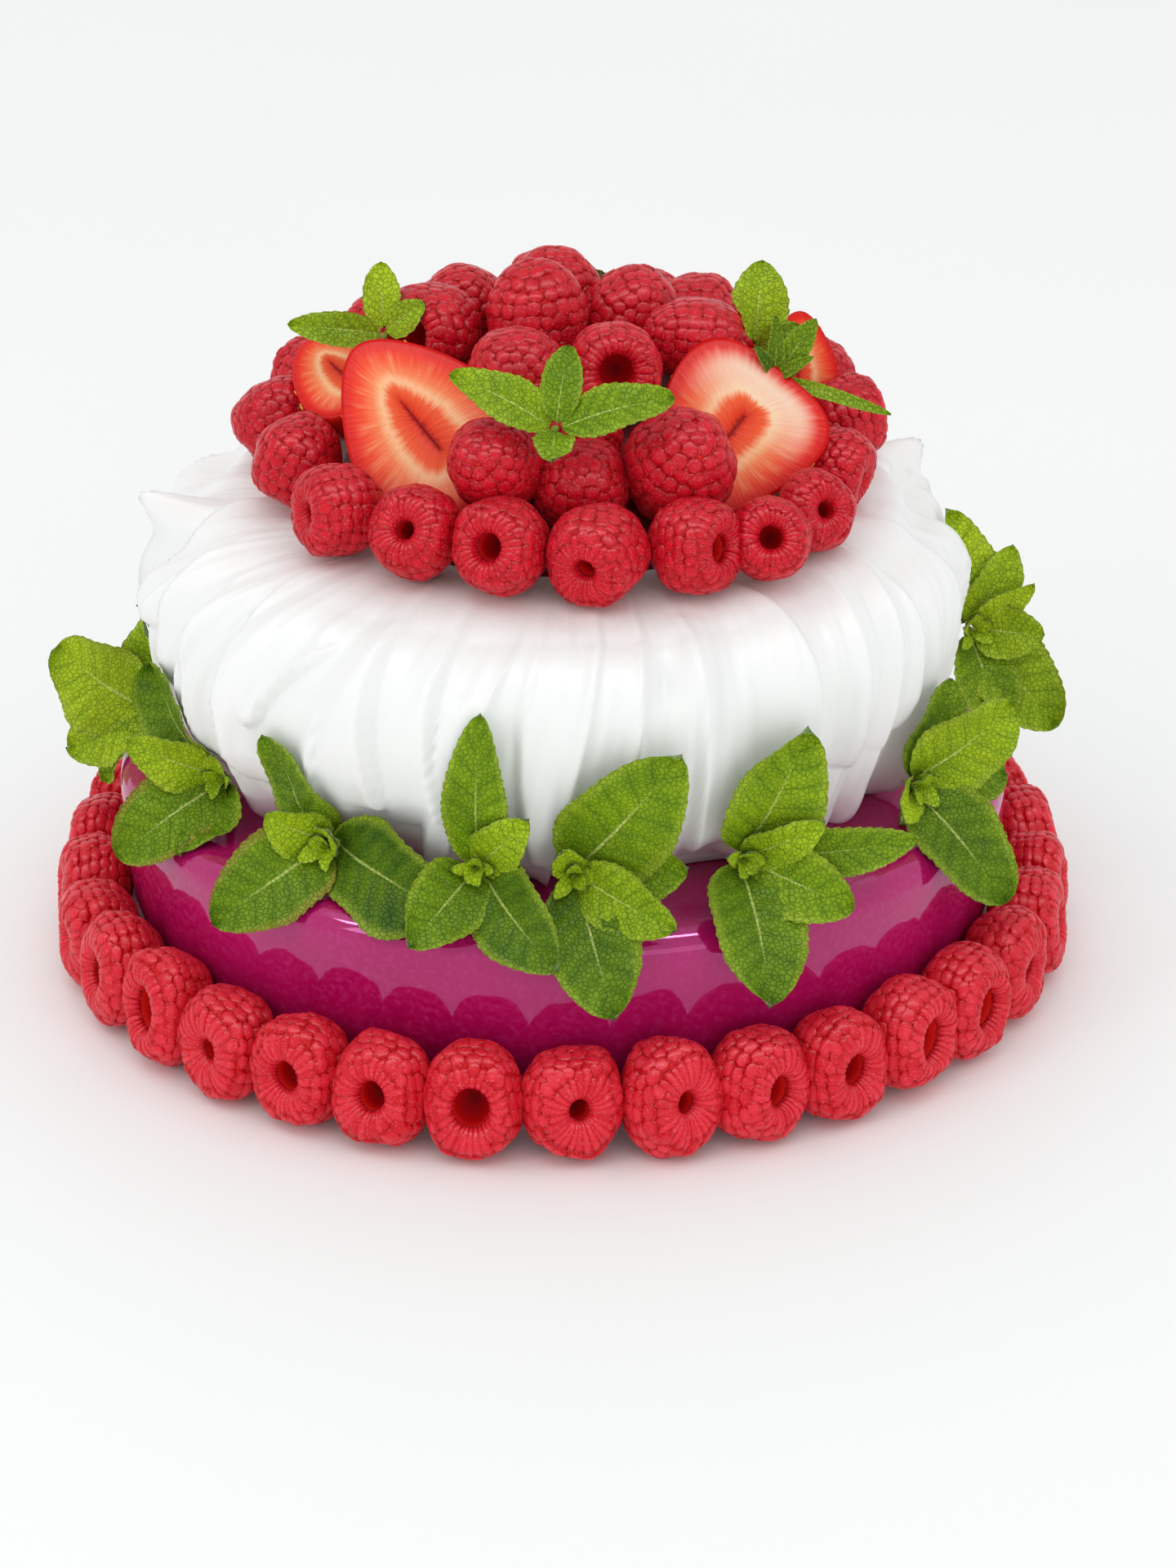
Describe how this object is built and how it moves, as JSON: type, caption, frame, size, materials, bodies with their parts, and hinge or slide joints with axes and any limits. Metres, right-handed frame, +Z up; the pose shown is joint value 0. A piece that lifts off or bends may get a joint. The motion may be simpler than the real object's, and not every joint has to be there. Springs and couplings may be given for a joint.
{
  "type": "fruit pavlova",
  "caption": "Whole pavlova: a glazed round of mousse carries a pleated meringue heaped with raspberries, halved strawberries and mint, with sprigs and a ring of berries round its foot.",
  "frame": {"origin": "on the surface the cake stands on, below the middle of the mousse round and of the ring of berries", "axes": "+Z up, -Y towards the front with the centre sprig of the top mint, +X to the right of it"},
  "size_m": [0.24, 0.2402, 0.1628],
  "materials": {
    "glaze": "wet gloss fruit glaze",
    "meringue": "satin whisked egg white",
    "raspberry": "soft downy fruit skin",
    "strawberry": "moist cut fruit",
    "mint": "fresh quilted leaf"
  },
  "bodies": {
    "root": {"mousse_round": "glaze", "meringue": "meringue", "ring_raspberry_01": "raspberry", "ring_raspberry_02": "raspberry", "ring_raspberry_03": "raspberry", "ring_raspberry_04": "raspberry", "ring_raspberry_05": "raspberry", "ring_raspberry_06": "raspberry", "ring_raspberry_07": "raspberry", "ring_raspberry_08": "raspberry", "ring_raspberry_09": "raspberry", "ring_raspberry_10": "raspberry", "ring_raspberry_11": "raspberry", "ring_raspberry_12": "raspberry", "ring_raspberry_13": "raspberry", "ring_raspberry_14": "raspberry", "ring_raspberry_15": "raspberry", "ring_raspberry_16": "raspberry", "ring_raspberry_17": "raspberry", "ring_raspberry_18": "raspberry", "ring_raspberry_19": "raspberry", "ring_raspberry_20": "raspberry", "ring_raspberry_21": "raspberry", "ring_raspberry_22": "raspberry", "ring_raspberry_23": "raspberry", "ring_raspberry_24": "raspberry", "ring_raspberry_25": "raspberry", "ring_raspberry_26": "raspberry", "ring_raspberry_27": "raspberry", "ring_raspberry_28": "raspberry", "ring_raspberry_29": "raspberry", "ring_raspberry_30": "raspberry", "ring_raspberry_31": "raspberry", "ring_raspberry_32": "raspberry", "ring_raspberry_33": "raspberry", "ring_raspberry_34": "raspberry", "mint_sprig_01": "mint", "mint_sprig_02": "mint", "mint_sprig_03": "mint", "mint_sprig_04": "mint", "mint_sprig_05": "mint", "mint_sprig_06": "mint", "mint_sprig_07": "mint", "mint_sprig_08": "mint", "mint_sprig_09": "mint", "mint_sprig_10": "mint", "mint_sprig_11": "mint", "mint_sprig_12": "mint", "mint_sprig_13": "mint", "raspberry_heap": "raspberry", "strawberry_half_left": "strawberry", "strawberry_half_right": "strawberry", "strawberry_half_back_left": "strawberry", "strawberry_half_back_right": "strawberry", "top_mint_front": "mint", "top_mint_left": "mint", "top_mint_right": "mint", "top_mint_back": "mint"}
  },
  "joints": []
}
